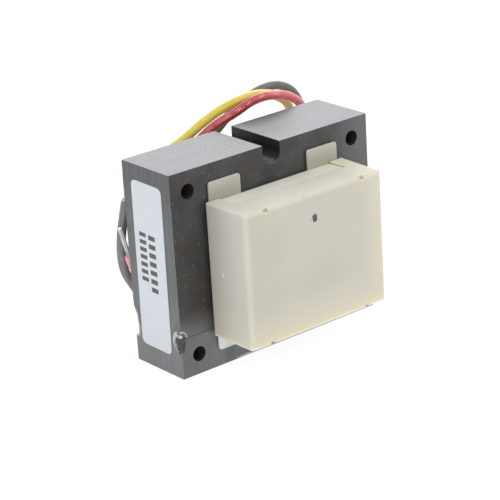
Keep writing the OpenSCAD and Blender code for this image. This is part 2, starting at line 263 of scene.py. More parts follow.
def oxide_face_finish():
    """Blue-grey oxide with cloudy patches, warm brown stains and pale specks of dust; the I bar is paler. Painted
    light makes the E face lighter towards the seam and its right end, and paints a pale strip along the bottom of the
    I bar's front.
    """
    finish, tree, shader, place = start_finish("oxide_face")
    x, _, z = split_axes(tree, place)
    patches = graded(tree, cloud(tree, place, 110, 5, 0.6), 0.35, 0.68)
    skin = tinted(tree, patches, (0.042, 0.0435, 0.045), (0.068, 0.0705, 0.073))
    stains = graded(tree, cloud(tree, stretched(tree, place, (1, 1, 1), (3, 1, 2)), 130, 5, 0.6), 0.46, 0.64)
    skin = tinted(tree, stains, skin, (0.06, 0.051, 0.041))
    # Painted light: the E face grows lighter down towards the seam, as if lit from the floor, and towards its right
    # end.
    painted_floor_light = graded(tree, z, 19 * MM, 11.2 * MM, 0, 0.9)
    painted_light_share = combined(tree, "MAXIMUM", painted_floor_light, graded(tree, x, 16 * MM, 33 * MM, 0, 0.7))
    skin = tinted(tree, painted_light_share, skin, (0.148, 0.156, 0.16))
    bar = tinted(tree, graded(tree, x, -34 * MM, -18 * MM), (0.136, 0.143, 0.147), (0.196, 0.205, 0.209))
    bar = tinted(tree, stains, bar, (0.142, 0.149, 0.153))
    skin = tinted(tree, graded(tree, z, 11.12 * MM, 11.06 * MM), skin, bar)
    # Painted light: a pale strip along the bottom of the I bar's front, right of the middle, as if lit from the
    # floor.
    painted_lit_strip = combined(
        tree, "MULTIPLY", graded(tree, z, 0.9 * MM, 0.4 * MM), graded(tree, x, -17 * MM, -13 * MM)
    )
    skin = tinted(tree, painted_lit_strip, skin, (0.5, 0.505, 0.5))
    heat = graded(tree, away_from(tree, four_corners(tree, place), weld_spot), 1.8 * MM, 3.2 * MM, 0.5, 0.0)
    skin = tinted(tree, heat, skin, (0.16, 0.12, 0.105))
    flat = stretched(tree, place, (1, 1, 1), turn=(math.radians(90), 0, 0))
    for scale, share, tint in ((400, 0.45, (0.3, 0.3, 0.29)), (760, 0.6, (0.2, 0.17, 0.13))):
        dust = tree.nodes.new("ShaderNodeTexVoronoi")
        dust.voronoi_dimensions = "2D"
        dust.inputs["Scale"].default_value = scale
        tree.links.new(flat, dust.inputs["Vector"])
        speck = graded(tree, dust.outputs["Distance"], 0.025, 0.08, 1, 0)
        chosen = tree.nodes.new("ShaderNodeSeparateColor")
        tree.links.new(dust.outputs["Color"], chosen.inputs[0])
        shown = graded(tree, chosen.outputs[0], share, 1.0)
        skin = tinted(tree, combined(tree, "MULTIPLY", speck, shown), skin, tint)
    tree.links.new(skin, shader.inputs["Base Color"])
    shader.inputs["Metallic"].default_value = 0.35
    tree.links.new(graded(tree, cloud(tree, place, 160, 4), 0.3, 0.7, 0.36, 0.52), shader.inputs["Roughness"])
    embossed(tree, shader, cloud(tree, place, 900, 4, 0.6), 0.02 * MM, 0.4)
    return finish


def sheared_edge_finish():
    """Bare cut edges: each sheet has its own shade and faint streaks. Painted shade makes the holes and the notch's
    walls black; painted light makes the sides paler low down, streaks the melted recess and lights the notch floor.
    """
    finish, tree, shader, place = start_finish("sheared_edge")
    x, y, z = split_axes(tree, place)
    shade = tree.nodes.new("ShaderNodeTexWhiteNoise")
    shade.noise_dimensions = "1D"
    tree.links.new(combined(tree, "FLOOR", combined(tree, "DIVIDE", y, 19.6 * MM / sheet_count)), shade.inputs["W"])
    edge = tinted(tree, shade.outputs["Value"], (0.115, 0.121, 0.127), (0.138, 0.144, 0.15))
    # Painted light: the sides grow lighter towards the bottom, as if lit from the floor.
    edge = tinted(tree, graded(tree, z, 53 * MM, 36 * MM, 0, 0.7), edge, (0.176, 0.184, 0.19))
    edge = tinted(tree, graded(tree, z, 30 * MM, 6 * MM, 0, 0.7), edge, (0.232, 0.24, 0.247))
    streaks = graded(tree, cloud(tree, stretched(tree, place, (60, 2100, 60)), 1, 3), 0.35, 0.7)
    edge = tinted(tree, combined(tree, "MULTIPLY", streaks, 0.35), edge, (0.11, 0.115, 0.12))
    grain = graded(tree, cloud(tree, stretched(tree, place, (1400, 2600, 1)), 1, 2, 0.7), 0.3, 0.7)
    top = tinted(tree, grain, (0.104, 0.109, 0.116), (0.158, 0.165, 0.173))
    edge = tinted(tree, graded(tree, z, 55.4 * MM, 55.5 * MM), edge, top)
    heat = graded(tree, away_from(tree, four_corners(tree, place), weld_spot), 2.4 * MM, 4.2 * MM, 0.6, 0.0)
    edge = tinted(tree, heat, edge, (0.15, 0.135, 0.13))
    # Painted highlight: pale streaks in the melted recess low on the rear left corner.
    run = graded(tree, cloud(tree, stretched(tree, place, (700, 900, 160)), 1, 3), 0.42, 0.6, 0, 0.8)
    recess_glint_spot = (-33 * MM, 9.6 * MM, 5.4 * MM)
    painted_recess_highlight = away_from(tree, stretched(tree, place, (1, 1, 0.5)), recess_glint_spot)
    painted_recess_highlight = graded(tree, painted_recess_highlight, 1.6 * MM, 2.6 * MM, 1, 0)
    edge = tinted(tree, combined(tree, "MULTIPLY", painted_recess_highlight, run), edge, (0.5, 0.51, 0.52))
    middle = combined(tree, "ABSOLUTE", x)
    notch = combined(
        tree, "MULTIPLY", graded(tree, middle, 2.9 * MM, 2.98 * MM, 1, 0), graded(tree, z, 48 * MM, 48.5 * MM)
    )
    # Painted shade: the notch's walls near black, darkest at the front and deep down.
    painted_shade_notch_wall = tinted(tree, graded(tree, y, -5 * MM, 9 * MM), (0.024, 0.024, 0.024), (0.085, 0.082, 0.076))
    painted_shade_notch_wall = tinted(tree, graded(tree, z, 54.2 * MM, 52.6 * MM, 0, 0.8), painted_shade_notch_wall, (0.012, 0.012, 0.012))
    from_middle = combined(tree, "ABSOLUTE", combined(tree, "SUBTRACT", z, core_middle_height))
    off_x = combined(tree, "POWER", combined(tree, "SUBTRACT", middle, hole_off_middle), 2.0)
    off_z = combined(tree, "POWER", combined(tree, "SUBTRACT", from_middle, hole_rise), 2.0)
    hole = graded(tree, combined(tree, "SQRT", combined(tree, "ADD", off_x, off_z)), 2.2 * MM, 2.4 * MM, 1, 0)
    edge = tinted(tree, notch, edge, painted_shade_notch_wall)
    # The notch floor: a tone per sheet, spread wide, with its bright streaks painted light.
    floor = combined(
        tree, "MULTIPLY", graded(tree, middle, 2.7 * MM, 2.9 * MM, 1, 0), graded(tree, z, 46 * MM, 47 * MM)
    )
    floor = combined(tree, "MULTIPLY", floor, graded(tree, z, 51.3 * MM, 50.5 * MM))
    floor = combined(tree, "MULTIPLY", floor, graded(tree, x, 2.2 * MM, 1.2 * MM))
    sheet_tone_and_painted_light = tinted(tree, shade.outputs["Value"], (0.05, 0.05, 0.054), (0.23, 0.23, 0.245))
    edge = tinted(tree, floor, edge, sheet_tone_and_painted_light)
    # Painted shade: the holes near black.
    edge = tinted(tree, hole, edge, (0.012, 0.011, 0.01))
    tree.links.new(edge, shader.inputs["Base Color"])
    matt = combined(tree, "MAXIMUM", combined(tree, "MAXIMUM", hole, notch), floor)
    tree.links.new(graded(tree, matt, 0, 1, 0.6, 0.2), shader.inputs["Metallic"])
    tree.links.new(graded(tree, notch, 0, 1, 0.5, 0.15), shader.inputs["Specular IOR Level"])
    dull = combined(tree, "MAXIMUM", hole, combined(tree, "MULTIPLY", streaks, 0.2))
    tree.links.new(graded(tree, dull, 0, 1, 0.36, 0.9), shader.inputs["Roughness"])
    embossed(tree, shader, cloud(tree, stretched(tree, place, (1500, 4000, 1500)), 1, 2), 0.012 * MM, 0.5)
    return finish


sheet_finishes = [sheared_edge_finish(), oxide_face_finish()]


def add_piece(name, mesh, finishes, node, smooth=0.0):
    """A finished piece from a bmesh: it rides on the part and stands for its CAD node."""
    data = bpy.data.meshes.new(name)
    mesh.to_mesh(data)
    mesh.free()
    piece = bpy.data.objects.new(name, data)
    for finish in finishes:
        data.materials.append(finish)
    if smooth:
        data.shade_smooth()
        data.set_sharp_from_angle(angle=math.radians(smooth))
        piece.modifiers.new("even_shading", "WEIGHTED_NORMAL").keep_sharp = True
    bpy.context.collection.objects.link(piece)
    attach(piece, "root")
    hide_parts(node)
    return piece


def merged_copy(node):
    """A CAD node's mesh with its loose triangles joined into whole faces."""
    mesh = bmesh.new()
    mesh.from_mesh(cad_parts[node].data)
    bmesh.ops.remove_doubles(mesh, verts=mesh.verts, dist=1e-6)
    bmesh.ops.dissolve_limit(mesh, angle_limit=math.radians(0.5), verts=mesh.verts, edges=mesh.edges)
    return mesh


def stack_of_sheets(node, seed, cuts):
    """One sheet is the CAD stack pressed flat, with its rims eased; the copies each sit a hair off line."""
    low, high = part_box(node)
    stack_depth = high[1] - low[1]
    pitch = stack_depth / sheet_count
    sheet = merged_copy(node)
    for height in cuts:
        everything = list(sheet.verts) + list(sheet.edges) + list(sheet.faces)
        bmesh.ops.bisect_plane(sheet, geom=everything, plane_co=(0, 0, height * MM), plane_no=(0, 0, 1))
    bmesh.ops.scale(sheet, vec=(1, (pitch - sheet_gap) / stack_depth, 1), verts=sheet.verts)
    level = [e for e in sheet.edges if abs((e.verts[0].co - e.verts[1].co).y) < 1e-6]
    rims = [e for e in level if e.calc_face_angle(0) > 0.5]
    bmesh.ops.bevel(
        sheet, geom=rims, offset=sheet_edge_round, affect="EDGES", segments=1, profile=0.5, material=-1
    )
    bmesh.ops.triangulate(sheet, faces=[f for f in sheet.faces if len(f.verts) > 4])
    pattern = bpy.data.meshes.new("sheet_pattern")
    sheet.to_mesh(pattern)
    sheet.free()
    draw = random.Random(seed)
    stack = bmesh.new()
    for number in range(sheet_count):
        start = len(stack.verts)
        stack.from_mesh(pattern)
        stack.verts.ensure_lookup_table()
        one = stack.verts[start:]
        sideways = draw.uniform(-1, 1) * sheet_shift
        upward = draw.uniform(0, 0.6) * sheet_shift
        bmesh.ops.translate(stack, vec=(sideways, low[1] + (number + 0.5) * pitch, upward), verts=one)
    bpy.data.meshes.remove(pattern)
    for face in stack.faces:
        face.material_index = 1 if abs(face.normal.y) > 0.9 else 0
    return stack


def melt_corner(stack, side, face, profile):
    """Rounds one upright corner of a stack where the weld ran into it; profile gives the radius by height."""
    for vert in stack.verts:
        height = vert.co.z / MM
        here = 0.0
        for (low, first), (high, second) in zip(profile, profile[1:]):
            if low <= height <= high:
                here = (first + (second - first) * (height - low) / (high - low)) * MM
        inset_x = core_half_width * MM - side * vert.co.x
        inset_y = core_half_depth * MM - face * vert.co.y
        if inset_x < here and inset_y < here:
            gone = here - math.sqrt(max(0.0, here ** 2 - (here - inset_y) ** 2))
            vert.co.x -= side * max(0.0, gone - inset_x)


burnt_corner = ((7.0, 1.95), (7.6, 1.95), (10.1, 2.15), (13, 1.5), (14.2, 0.6), (15.3, 0))
welded_corner = ((7.4, 0), (8.4, 0.8), (10.6, 1.4), (11.8, 1.6), (13.2, 1.0), (14.6, 0))
seam_gap = 0.1 * MM
e_stack = stack_of_sheets("e_laminations", 7, (11.6, 12.2, 13, 13.6, 14.2, 14.7, 15.3))
i_stack = stack_of_sheets("i_laminations", 11, (6.97, 7.01, 7.6, 8.4, 9.2, 10.1, 10.6))
for vert in i_stack.verts:
    if vert.co.z > 11 * MM:
        vert.co.z -= seam_gap
for stack in (e_stack, i_stack):
    melt_corner(stack, -1, 1, burnt_corner)
    for side, face in ((-1, -1), (1, -1), (1, 1)):
        melt_corner(stack, side, face, welded_corner)
add_piece("e_sheets", e_stack, sheet_finishes, "e_laminations")
add_piece("i_sheets", i_stack, sheet_finishes, "i_laminations")


# Welds: one bead of melted sheet edge at each upright corner, run down across the seam without filler.
# They cool dark and shiny, with a ripple across them and a tan lip where the metal was hottest.
def weld_finish():
    finish, tree, shader, place = start_finish("weld_metal")
    _, y, z = split_axes(tree, place)
    depth = combined(tree, "ABSOLUTE", y)
    uneven = combined(tree, "MULTIPLY", cloud(tree, place, 700, 4), 3.4 * MM)
    # Painted highlight: the bead is pale silver on the core's side and dark where it stands out in front.
    side = graded(tree, combined(tree, "ADD", depth, uneven), 9.5 * MM, 10.9 * MM, 1, 0)
    tint = tinted(tree, side, (0.075, 0.075, 0.079), (0.45, 0.455, 0.455))
    # Painted highlight: a bright ridge across the upper part of the bead.
    crest = combined(tree, "ADD", combined(tree, "SUBTRACT", z, 14.1 * MM), combined(tree, "MULTIPLY", depth, 0.2))
    crest = combined(tree, "ABSOLUTE", combined(tree, "ADD", crest, combined(tree, "MULTIPLY", uneven, 0.1)))
    painted_ridge_highlight = combined(
        tree, "MULTIPLY", graded(tree, crest, 0.15 * MM, 0.5 * MM, 0.9, 0), graded(tree, depth, 10.2 * MM, 9.7 * MM)
    )
    tint = tinted(tree, painted_ridge_highlight, tint, (0.44, 0.44, 0.46))
    tint = tinted(tree, graded(tree, depth, 9.9 * MM, 10.3 * MM, 0, 0.8), tint, (0.062, 0.05, 0.05))
    tree.links.new(tint, shader.inputs["Base Color"])
    shader.inputs["Metallic"].default_value = 0.8
    tree.links.new(graded(tree, cloud(tree, place, 420, 4), 0.4, 0.62, 0.2, 0.4), shader.inputs["Roughness"])
    embossed(tree, shader, cloud(tree, place, 1400, 3), 0.03 * MM, 0.6)
    return finish


def weld_lip_finish():
    finish, tree, shader, place = start_finish("weld_lip")
    tree.links.new(
        tinted(tree, cloud(tree, place, 900, 3), (0.33, 0.29, 0.27), (0.52, 0.46, 0.43)), shader.inputs["Base Color"]
    )
    shader.inputs["Metallic"].default_value = 0.5
    shader.inputs["Roughness"].default_value = 0.45
    embossed(tree, shader, cloud(tree, place, 1200, 3), 0.05 * MM, 0.6)
    return finish


weld_finishes = [weld_finish(), weld_lip_finish()]


bead_middle = 9.3
bead_above = 3.9
bead_below = 4.1
bead_crest_slope = 0.2
lip_girth = 0.34 * MM
lip_reach = 1.45 * MM
lip_spot = (33.0 * MM, 9.8 * MM, 11.4 * MM)


def weld_bead(side, face, girth, sink):
    """A tear-shaped lump: broad on the side of the core, drawn out to a tail at the corner below."""
    bead = bmesh.new()
    bmesh.ops.create_icosphere(bead, subdivisions=5, radius=1.0)
    for vert in bead.verts:
        height = vert.co.z
        taper = 1.0 if height > 0.2 else 1.0 - 0.62 * (0.2 - height) ** 1.2
        lump = noise.noise(vert.co * 1.7 + Vector((side * 3, face * 5, 2)))
        ripple = 0.03 * math.sin(height * 17 + vert.co.y * 3)
        spread = taper * (1 + 0.2 * lump + ripple)
        vert.co.x = side * (core_half_width - sink + 1.05 * girth * spread * side * vert.co.x) * MM
        vert.co.y = face * (core_half_depth - sink - 0.95 * taper + 1.75 * girth * spread * face * vert.co.y) * MM
        slope = bead_crest_slope * max(0.0, height) * (core_half_depth - face * vert.co.y / MM)
        vert.co.z = (bead_middle + (bead_above if height > 0 else bead_below) * height + slope) * MM
    bmesh.ops.recalc_face_normals(bead, faces=bead.faces)
    return bead


def weld_lip(bead, side, face):
    """A thin raised crescent on the core's face, round the upper end of the bead."""
    ring = bmesh.ops.create_circle(bead, segments=10, radius=lip_girth)["verts"]
    bmesh.ops.translate(bead, vec=(lip_reach, 0, 0), verts=ring)
    edges = list(dict.fromkeys(e for v in ring for e in v.link_edges))
    bmesh.ops.spin(
        bead, geom=ring + edges, cent=(0, 0, 0), axis=(0, -1, 0), dvec=(0, 0, 0), angle=math.radians(115), steps=18,
        use_merge=False,
    )
    crescent = [v for v in bead.verts if v.co.length < 3 * MM]
    for lip_face in {f for v in crescent for f in v.link_faces}:
        lip_face.material_index = 1
    bmesh.ops.scale(bead, vec=(-side, 1, 1.2), verts=crescent)
    bmesh.ops.translate(bead, vec=(side * lip_spot[0], face * lip_spot[1], lip_spot[2]), verts=crescent)


for node, side, face, girth, sink in (
    ("front_left_weld", -1, -1, 1.2, 0.5), ("front_right_weld", 1, -1, 0.95, 0.6),
    ("rear_right_weld", 1, 1, 0.95, 0.6), ("rear_left_weld", -1, 1, 0.9, 1.5),
):
    bead = weld_bead(side, face, girth, sink)
    if node == "front_left_weld":
        weld_lip(bead, side, face)
    add_piece(node + "_bead", bead, weld_finishes, node, smooth=60)


# Bobbin: one moulding of natural nylon on the centre leg. Only its tabs and the edges of its end flanges
# show between the core and the covers.
def nylon_finish(name, pale, warm, marks=(), light_and_shade_washes=()):
    """Natural nylon: milky and warmer at its right, with painted light from below making its lower edges warm, ochre
    and near white, with ragged marks, some of them painted glow, and soft washes of painted light and shade.
    """
    finish, tree, shader, place = start_finish(name)
    x, _, z = split_axes(tree, place)
    uneven = graded(tree, cloud(tree, place, 70, 3), 0.3, 0.7)
    body = tinted(tree, uneven, pale, tuple(0.96 * c for c in pale))
    warmer_right = graded(tree, x, 12 * MM, 23.5 * MM, 0, 0.7)
    # Painted light from below: warmer low down, then ochre and near white at the very bottom edge.
    painted_light_low = graded(tree, z, 22 * MM, 10 * MM, 0, 0.7)
    body = tinted(tree, combined(tree, "MAXIMUM", warmer_right, painted_light_low), body, warm)
    painted_glow_ochre = tuple(c * k for c, k in zip(warm, (1.12, 1.05, 0.88)))
    body = tinted(tree, graded(tree, z, 13 * MM, 10.2 * MM, 0, 0.5), body, painted_glow_ochre)
    body = tinted(tree, graded(tree, z, 10.3 * MM, 9.8 * MM, 0, 0.8), body, (0.93, 0.92, 0.85))
    ragged = combined(tree, "MULTIPLY", combined(tree, "SUBTRACT", cloud(tree, place, 900, 3), 0.5), 1.2)
    spots = [(spot, True) for spot in light_and_shade_washes] + [(spot, False) for spot in marks]
    for (centre, reach, share, colour), soft in spots:
        near = stretched(
            tree, place, tuple(1 / (r * MM) for r in reach), tuple(-c / r for c, r in zip(centre, reach))
        )
        spread = away_from(tree, near, (0, 0, 0))
        if soft:
            shown = graded(tree, spread, 0, 1.2, share, 0)
        else:
            shown = graded(tree, combined(tree, "ADD", spread, ragged), 0.8, 1.2, share, 0)
        body = tinted(tree, shown, body, colour)
    tree.links.new(body, shader.inputs["Base Color"])
    shader.inputs["Roughness"].default_value = 0.6
    shader.inputs["Specular IOR Level"].default_value = 0.3
    shader.inputs["Subsurface Weight"].default_value = 0.6
    shader.inputs["Subsurface Radius"].default_value = (1.0, 0.8, 0.5)
    shader.inputs["Subsurface Scale"].default_value = 2.2 * MM
    embossed(tree, shader, cloud(tree, place, 500, 4), 0.02 * MM, 0.35)
    return finish


def eased(mesh, radius, segments=2):
    """Every sharp edge of a mesh rounded a little, as a moulding comes from its tool."""
    sharp = [e for e in mesh.edges if e.calc_face_angle(0) > math.radians(35)]
    bmesh.ops.bevel(
        mesh, geom=sharp, offset=radius, affect="EDGES", segments=segments, profile=0.5, material=-1,
        clamp_overlap=True,
    )
    bmesh.ops.remove_doubles(mesh, verts=mesh.verts, dist=0.004 * MM)
    bmesh.ops.dissolve_degenerate(mesh, edges=mesh.edges, dist=0.002 * MM)
    bmesh.ops.triangulate(mesh, faces=[f for f in mesh.faces if len(f.verts) > 4])
    return mesh


tab_depth = 10.75 * MM
upper_tab_floor = 45 * MM
lower_tab_ceiling = 10.5 * MM
bobbin_mesh = eased(merged_copy("bobbin"), 0.15 * MM)
for face in bobbin_mesh.faces:
    middle = face.calc_center_median()
    if abs(middle.y) < tab_depth:
        face.material_index = 1 if middle.z > upper_tab_floor else 2 if middle.z < lower_tab_ceiling else 0
tab_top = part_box("bobbin")[1][2] / MM
# Painted shade and light: the upper tabs get a darker copy of the nylon, paler towards their top, and the lower tabs
# a paler copy.
bobbin_finishes = [
    nylon_finish("bobbin_nylon", (0.64, 0.625, 0.545), (0.66, 0.63, 0.53)),
    nylon_finish(
        "upper_tab_painted_shade", (0.4, 0.395, 0.325), (0.4, 0.395, 0.325),
        light_and_shade_washes=[((0, -10.4, tab_top), (60, 60, 3.4), 0.6, (0.55, 0.55, 0.5))],
    ),
    nylon_finish("lower_tab_painted_light", (0.93, 0.925, 0.83), (0.93, 0.925, 0.83)),
]
add_piece("bobbin_moulding", bobbin_mesh, bobbin_finishes, "bobbin", smooth=30)


# Windings: enamelled copper wire in close turns on each half of the bobbin, under a layer of yellow film
# tape. All of it is shut in by the covers.
def enamel_finish():
    finish, tree, shader, place = start_finish("enamelled_wire")
    turns = tree.nodes.new("ShaderNodeTexWave")
    turns.bands_direction = "Z"
    turns.inputs["Scale"].default_value = 500
    turns.inputs["Distortion"].default_value = 0.6
    tree.links.new(place, turns.inputs["Vector"])
    copper = tinted(tree, turns.outputs["Fac"], (0.16, 0.05, 0.02), (0.45, 0.19, 0.07))
    tree.links.new(copper, shader.inputs["Base Color"])
    shader.inputs["Metallic"].default_value = 0.6
    shader.inputs["Roughness"].default_value = 0.3
    embossed(tree, shader, turns.outputs["Fac"], 0.2 * MM)
    return finish


def tape_finish():
    finish, tree, shader, place = start_finish("film_tape")
    creases = graded(tree, cloud(tree, stretched(tree, place, (120, 120, 900)), 1, 3), 0.4, 0.6)
    tree.links.new(tinted(tree, creases, (0.72, 0.52, 0.13), (0.8, 0.62, 0.2)), shader.inputs["Base Color"])
    shader.inputs["Roughness"].default_value = 0.25
    embossed(tree, shader, creases, 0.05 * MM, 0.5)
    return finish


enamel = enamel_finish()
film_tape = tape_finish()
for node, finish in (
    ("primary_winding", enamel), ("secondary_winding", enamel),
    ("primary_wrap", film_tape), ("secondary_wrap", film_tape),
):
    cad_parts[node].data.materials.clear()
    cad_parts[node].data.materials.append(finish)


# Coil covers: two mouldings of cream nylon that snap over the coil from the front and from the rear. The
# front one has a dark scuff near its upper edge, and grease has settled in its two upper slots; their ochre
# also paints light into the shaded slots. Painted light glows on the wall beside the cut-out at the right,
# and painted light and shade lie on the left wall.
shoulder_radius = 1.1 * MM
corner_width = 1.45 * MM
mould_edge_radius = 0.3 * MM
cream = (0.555, 0.542, 0.475)
cream_warm = (0.68, 0.63, 0.505)
scuffs_and_painted_glow = [
    ((-0.5, -26.3, 39.3), (0.85, 2, 1.05), 1.0, (0.085, 0.085, 0.085)),
    ((-1.7, -26.3, 39.1), (0.6, 2, 0.4), 0.3, (0.33, 0.26, 0.17)),
    # Grease round the two upper slots; its ochre also paints light into the shaded slots.
    ((-16.3, -25.4, 45.7), (0.7, 0.7, 0.7), 0.6, (0.76, 0.6, 0.33)),
    ((16.3, -25.4, 45.7), (0.7, 0.7, 0.7), 0.6, (0.76, 0.6, 0.33)),
    ((-3.4, -26, 45.9), (0.5, 0.6, 0.4), 0.6, (0.5, 0.4, 0.2)),
    # Painted glow: the wall of the cut-out at the right, lit as if through the nylon.
    ((18.9, -13, 45.4), (0.5, 4.5, 1.1), 0.8, (0.8, 0.64, 0.38)),
    ((-23.1, -16, 27.6), (0.5, 0.4, 0.7), 0.6, (0.86, 0.86, 0.83)),
]
# Painted shade in the middle of the left wall and painted light towards its front edge.
painted_wall_shading = [
    ((-23.1, -12, 34), (1.2, 9, 40), 0.45, (0.45, 0.428, 0.36)),
    ((-23.1, -26.3, 28), (1.2, 14, 90), 0.6, (0.7, 0.695, 0.63)),
]


def with_round_shoulders(node):
    """A cover's mesh with its upper left and right edges rounded over, least beside the core."""
    mesh = merged_copy(node)
    low, (half_width, high_y, top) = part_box(node)
    near, far = sorted((abs(low[1]), abs(high_y)))
    for turn in (0, 18, 36, 54, 72):
        height = top - shoulder_radius * (1 - math.sin(math.radians(turn)))
        walls = [f for f in mesh.faces if all(abs(v.co.x) > half_width - corner_width for v in f.verts)]
        edges = list(dict.fromkeys(e for f in walls for e in f.edges))
        verts = list(dict.fromkeys(v for f in walls for v in f.verts))
        bmesh.ops.bisect_plane(mesh, geom=verts + edges + walls, plane_co=(0, 0, height), plane_no=(0, 0, 1))
    for vert in mesh.verts:
        inset_x = half_width - abs(vert.co.x)
        inset_z = max(0.0, top - vert.co.z)
        here = shoulder_radius * (0.3 + 0.7 * (abs(vert.co.y) - near) / (far - near))
        if inset_x < here and inset_z < here:
            gone = here - math.sqrt(here ** 2 - (here - inset_z) ** 2)
            vert.co.x = math.copysign(half_width - max(inset_x, gone), vert.co.x)
    bmesh.ops.remove_doubles(mesh, verts=mesh.verts, dist=0.004 * MM)
    bmesh.ops.dissolve_degenerate(mesh, edges=mesh.edges, dist=0.002 * MM)
    return mesh


for node, marks, light_and_shade_washes in (("front_cover", scuffs_and_painted_glow, painted_wall_shading), ("rear_cover", [], [])):
    finish = nylon_finish(node + "_nylon", cream, cream_warm, marks, light_and_shade_washes)
    cover = eased(with_round_shoulders(node), mould_edge_radius, 3)
    add_piece(node + "_moulding", cover, [finish], node, smooth=30)


# Label: a die-cut strip of coated paper stuck to the left side of the core, with two plain rows of
# printed bars.
def label_finish():
    finish, tree, shader, place = start_finish("label_paper")
    fibre = graded(tree, cloud(tree, place, 700, 5), 0.3, 0.7)
    sheet = tinted(tree, fibre, (0.665, 0.712, 0.757), (0.69, 0.735, 0.778))
    _, y, z = split_axes(tree, stretched(tree, place, (1, 1, 1), (0, 0, 0), (math.radians(-0.8), 0, 0)))
    ink = None
    for middle, bottom, pitch, count in ((3.6, 24.0, 2.05, 7), (-0.2, 21.6, 2.4, 7)):
        off_row = combined(tree, "ABSOLUTE", combined(tree, "SUBTRACT", y, middle * MM))
        row = combined(tree, "LESS_THAN", off_row, 1.4 * MM)
        step = combined(tree, "DIVIDE", combined(tree, "SUBTRACT", z, bottom * MM), pitch * MM)
        off_run = combined(tree, "ABSOLUTE", combined(tree, "SUBTRACT", step, count / 2))
        run = combined(tree, "LESS_THAN", off_run, count / 2)
        bar = combined(tree, "LESS_THAN", combined(tree, "FRACT", step), 0.56)
        bars = combined(tree, "MULTIPLY", combined(tree, "MULTIPLY", row, run), bar)
        ink = bars if ink is None else combined(tree, "MAXIMUM", ink, bars)
    tree.links.new(tinted(tree, ink, sheet, (0.08, 0.085, 0.09)), shader.inputs["Base Color"])
    shader.inputs["Roughness"].default_value = 0.45
    embossed(tree, shader, fibre, 0.01 * MM, 0.4)
    return finish


add_piece("label_strip", eased(merged_copy("label"), 0.04 * MM), [label_finish()], "label")


# Leads: stranded wire in 2.5 mm PVC insulation, two from each winding. They leave the rear cover's right
# wall, arch over the top behind the yoke and come down to the left edge of the core, and each ends in a
# stripped length of tinned strands.
lead_diameter = 2.5 * MM
dash_count = 300.0
dash_share = 0.5
print_half_width = 0.06
strand_radius = 0.2
strand_ring = 0.4
yellow_route = (
    (18.6, 22.1, 22.4), (23.2, 22.1, 22.4), (27.8, 22.2, 22.8), (31.2, 23.4, 26.2), (31.8, 24.8, 31.4),
    (31.7, 25.2, 36.4), (32.3, 23.7, 41.6), (32.6, 21, 47.4), (30.6, 18.8, 52.6), (26.4, 18.2, 56.4),
    (20, 18, 58.7), (13, 18, 58.7), (6.6, 18, 57.7), (0.4, 18, 55.7), (-6.2, 17.9, 52.9), (-12.2, 17.5, 51.1),
    (-18.4, 16.8, 49.6), (-24.2, 15.8, 47.2), (-26.4, 15, 41.6), (-26.2, 14.3, 35), (-25.8, 14, 28),
)
red_route = (
    (18.6, 22.1, 38.1), (23.2, 22.1, 38.1), (28, 21.8, 38.7), (32.4, 20.2, 42), (34.2, 17.6, 47.2),
    (33.1, 15.6, 51.7), (28.6, 14.6, 56.3), (22.4, 14.6, 58.5), (15.4, 14.6, 58.8), (8.4, 14.6, 56.9),
    (0.9, 14.6, 54.95), (-5.6, 14.7, 51.8), (-9.9, 16.3, 48.8), (-12.4, 20.4, 47.9), (-12.8, 24, 48.1),
    (-12.6, 27.2, 46.8), (-12, 29.2, 43.2), (-11.2, 28.4, 36.4), (-10.4, 27.5, 29.6), (-10, 27.3, 22.4),
    (-10.2, 28.1, 15.4), (-11.2, 27.9, 9.8), (-13.2, 24.8, 6), (-17, 19.8, 5.2), (-21.6, 15.4, 6.4),
    (-26, 12.4, 10.6), (-28.2, 11.8, 15.4), (-29, 11.6, 19.4), (-29.9, 11.6, 22.3), (-30.95, 11.6, 24.8),
    (-31.8, 11.6, 26.7), (-32.25, 11.6, 28.4),
)
black_route = (
    (18.6, 22.1, 33.1), (23.2, 22.1, 33.1), (28.6, 22.1, 33.8), (33.8, 22.2, 37), (36.9, 22.2, 42.2),
    (37.7, 21.9, 48), (35.5, 21.5, 54.1), (30.6, 21.4, 57.9), (24.9, 21.4, 58.8), (19.6, 21.6, 57.7),
    (14.6, 22.5, 55), (10.2, 24.8, 50), (7.4, 28, 45), (4.4, 29.5, 38.2), (-1, 30, 31.4), (-6.2, 30.7, 24.6),
    (-10.6, 31.2, 17.8), (-13.8, 29.6, 11.6), (-17.2, 25.6, 6.8), (-21.6, 20.4, 6), (-25, 16.6, 9.4),
    (-27.2, 15.2, 14.6), (-29.7, 14.8, 18.9), (-31.9, 14.6, 23.2), (-32.5, 14.6, 28.4), (-32, 14.6, 33.4),
    (-31, 14.6, 37.6), (-29.8, 14.6, 42),
)
second_black_route = (
    (18.6, 22.1, 17.4), (23.2, 22.1, 17.4), (28, 22.2, 17.2), (33.4, 23.6, 16.4), (36.2, 28.2, 14.8),
    (34, 33, 12.8), (28.4, 34.8, 10.4), (22, 34.2, 7.4), (16, 33, 4.6), (9.4, 32.4, 2.4), (2, 31.6, 1.5),
    (-5.4, 30.4, 1.3), (-12.2, 27.6, 1.3), (-16.4, 22.4, 1.3), (-15, 17, 1.3), (-9.4, 14.6, 1.3), (-2, 14.4, 1.3),
    (5.4, 14.6, 1.3), (12, 15.6, 1.3),
)


